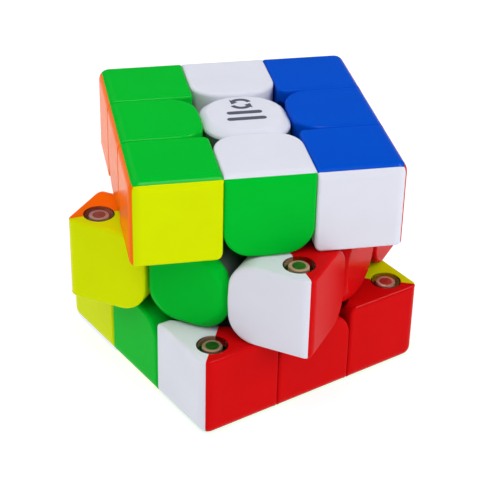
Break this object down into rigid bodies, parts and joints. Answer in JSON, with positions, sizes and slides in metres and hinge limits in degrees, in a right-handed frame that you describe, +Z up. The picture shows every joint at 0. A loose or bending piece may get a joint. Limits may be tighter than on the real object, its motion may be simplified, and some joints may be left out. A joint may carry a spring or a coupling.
{
  "type": "twisty puzzle cube",
  "caption": "Stickerless magnetic twisty puzzle cube of corner, edge and centre pieces on a sprung core, shown with its upper and lower layers part turned.",
  "frame": {"origin": "centre of the core, which is also the centre of the bounding box", "axes": "+Z up along the axis the upper and lower layers turn about; the middle layer faces front along -Y and right along +X"},
  "size_m": [0.0772, 0.0772, 0.056],
  "materials": {
    "white_plastic": "satin gloss, stickerless",
    "yellow_plastic": "satin gloss, stickerless",
    "green_plastic": "satin gloss, stickerless",
    "blue_plastic": "satin gloss, stickerless",
    "red_plastic": "satin gloss, stickerless",
    "orange_plastic": "satin gloss, stickerless",
    "grey_plastic": "satin",
    "core_plastic": "matte",
    "plated_steel": "plated",
    "spring_steel": "bright wire",
    "clear_plastic": "clear",
    "magnet_metal": "nickel plated",
    "mark_ink": "pad printed"
  },
  "bodies": {
    "middle_layer": {"core": "core_plastic", "tension_screw_upper": "plated_steel", "spring_washer_upper": "plated_steel", "tension_spring_upper": "spring_steel", "tension_screw_lower": "plated_steel", "spring_washer_lower": "plated_steel", "tension_spring_lower": "spring_steel", "tension_screw_front": "plated_steel", "spring_washer_front": "plated_steel", "tension_spring_front": "spring_steel", "tension_screw_back": "plated_steel", "spring_washer_back": "plated_steel", "tension_spring_back": "spring_steel", "tension_screw_left": "plated_steel", "spring_washer_left": "plated_steel", "tension_spring_left": "spring_steel", "tension_screw_right": "plated_steel", "spring_washer_right": "plated_steel", "tension_spring_right": "spring_steel", "edge_middle_front_left": "yellow_plastic", "edge_middle_front_right": "white_plastic", "edge_middle_back_left": "white_plastic", "edge_middle_back_right": "yellow_plastic"},
    "upper_layer": {"corner_shell_upper_front_left": "green_plastic", "corner_foot_upper_front_left": "grey_plastic", "edge_upper_front": "white_plastic", "corner_shell_upper_front_right": "blue_plastic", "corner_foot_upper_front_right": "grey_plastic", "edge_upper_left": "green_plastic", "edge_upper_right": "blue_plastic", "corner_shell_upper_back_left": "green_plastic", "corner_foot_upper_back_left": "grey_plastic", "edge_upper_back": "white_plastic", "corner_shell_upper_back_right": "blue_plastic", "corner_foot_upper_back_right": "grey_plastic"},
    "lower_layer": {"corner_shell_lower_front_left": "blue_plastic", "corner_foot_lower_front_left": "grey_plastic", "edge_lower_front": "yellow_plastic", "corner_shell_lower_front_right": "green_plastic", "corner_foot_lower_front_right": "grey_plastic", "edge_lower_left": "blue_plastic", "edge_lower_right": "green_plastic", "corner_shell_lower_back_left": "blue_plastic", "corner_foot_lower_back_left": "grey_plastic", "edge_lower_back": "yellow_plastic", "corner_shell_lower_back_right": "green_plastic", "corner_foot_lower_back_right": "grey_plastic"},
    "upper_centre": {"centre_base_upper": "grey_plastic", "centre_cap_upper": "white_plastic"},
    "lower_centre": {"centre_base_lower": "grey_plastic", "centre_cap_lower": "yellow_plastic"},
    "front_centre": {"centre_base_front": "grey_plastic", "centre_cap_front": "green_plastic"},
    "back_centre": {"centre_base_back": "grey_plastic", "centre_cap_back": "blue_plastic"},
    "left_centre": {"centre_base_left": "grey_plastic", "centre_cap_left": "orange_plastic"},
    "right_centre": {"centre_base_right": "grey_plastic", "centre_cap_right": "red_plastic"}
  },
  "joints": [
    {"name": "upper_layer_turn", "type": "hinge", "parent": "middle_layer", "child": "upper_layer", "pos_m": [0, 0, 0], "axis": [0, 0, 1], "continuous": true},
    {"name": "lower_layer_turn", "type": "hinge", "parent": "middle_layer", "child": "lower_layer", "pos_m": [0, 0, 0], "axis": [0, 0, 1], "continuous": true},
    {"name": "upper_centre_lift", "type": "slide", "parent": "upper_layer", "child": "upper_centre", "axis": [0, 0, 1], "range_m": [0, 0.0005], "stiffness_N_per_m": 300, "springref_m": -0.002, "deforming": ["tension_spring_upper"]},
    {"name": "lower_centre_lift", "type": "slide", "parent": "lower_layer", "child": "lower_centre", "axis": [0, 0, -1], "range_m": [0, 0.0005], "stiffness_N_per_m": 300, "springref_m": -0.002, "deforming": ["tension_spring_lower"]},
    {"name": "front_centre_lift", "type": "slide", "parent": "middle_layer", "child": "front_centre", "axis": [0, -1, 0], "range_m": [0, 0.0005], "stiffness_N_per_m": 300, "springref_m": -0.002, "deforming": ["tension_spring_front"]},
    {"name": "back_centre_lift", "type": "slide", "parent": "middle_layer", "child": "back_centre", "axis": [0, 1, 0], "range_m": [0, 0.0005], "stiffness_N_per_m": 300, "springref_m": -0.002, "deforming": ["tension_spring_back"]},
    {"name": "left_centre_lift", "type": "slide", "parent": "middle_layer", "child": "left_centre", "axis": [-1, 0, 0], "range_m": [0, 0.0005], "stiffness_N_per_m": 300, "springref_m": -0.002, "deforming": ["tension_spring_left"]},
    {"name": "right_centre_lift", "type": "slide", "parent": "middle_layer", "child": "right_centre", "axis": [1, 0, 0], "range_m": [0, 0.0005], "stiffness_N_per_m": 300, "springref_m": -0.002, "deforming": ["tension_spring_right"]}
  ]
}
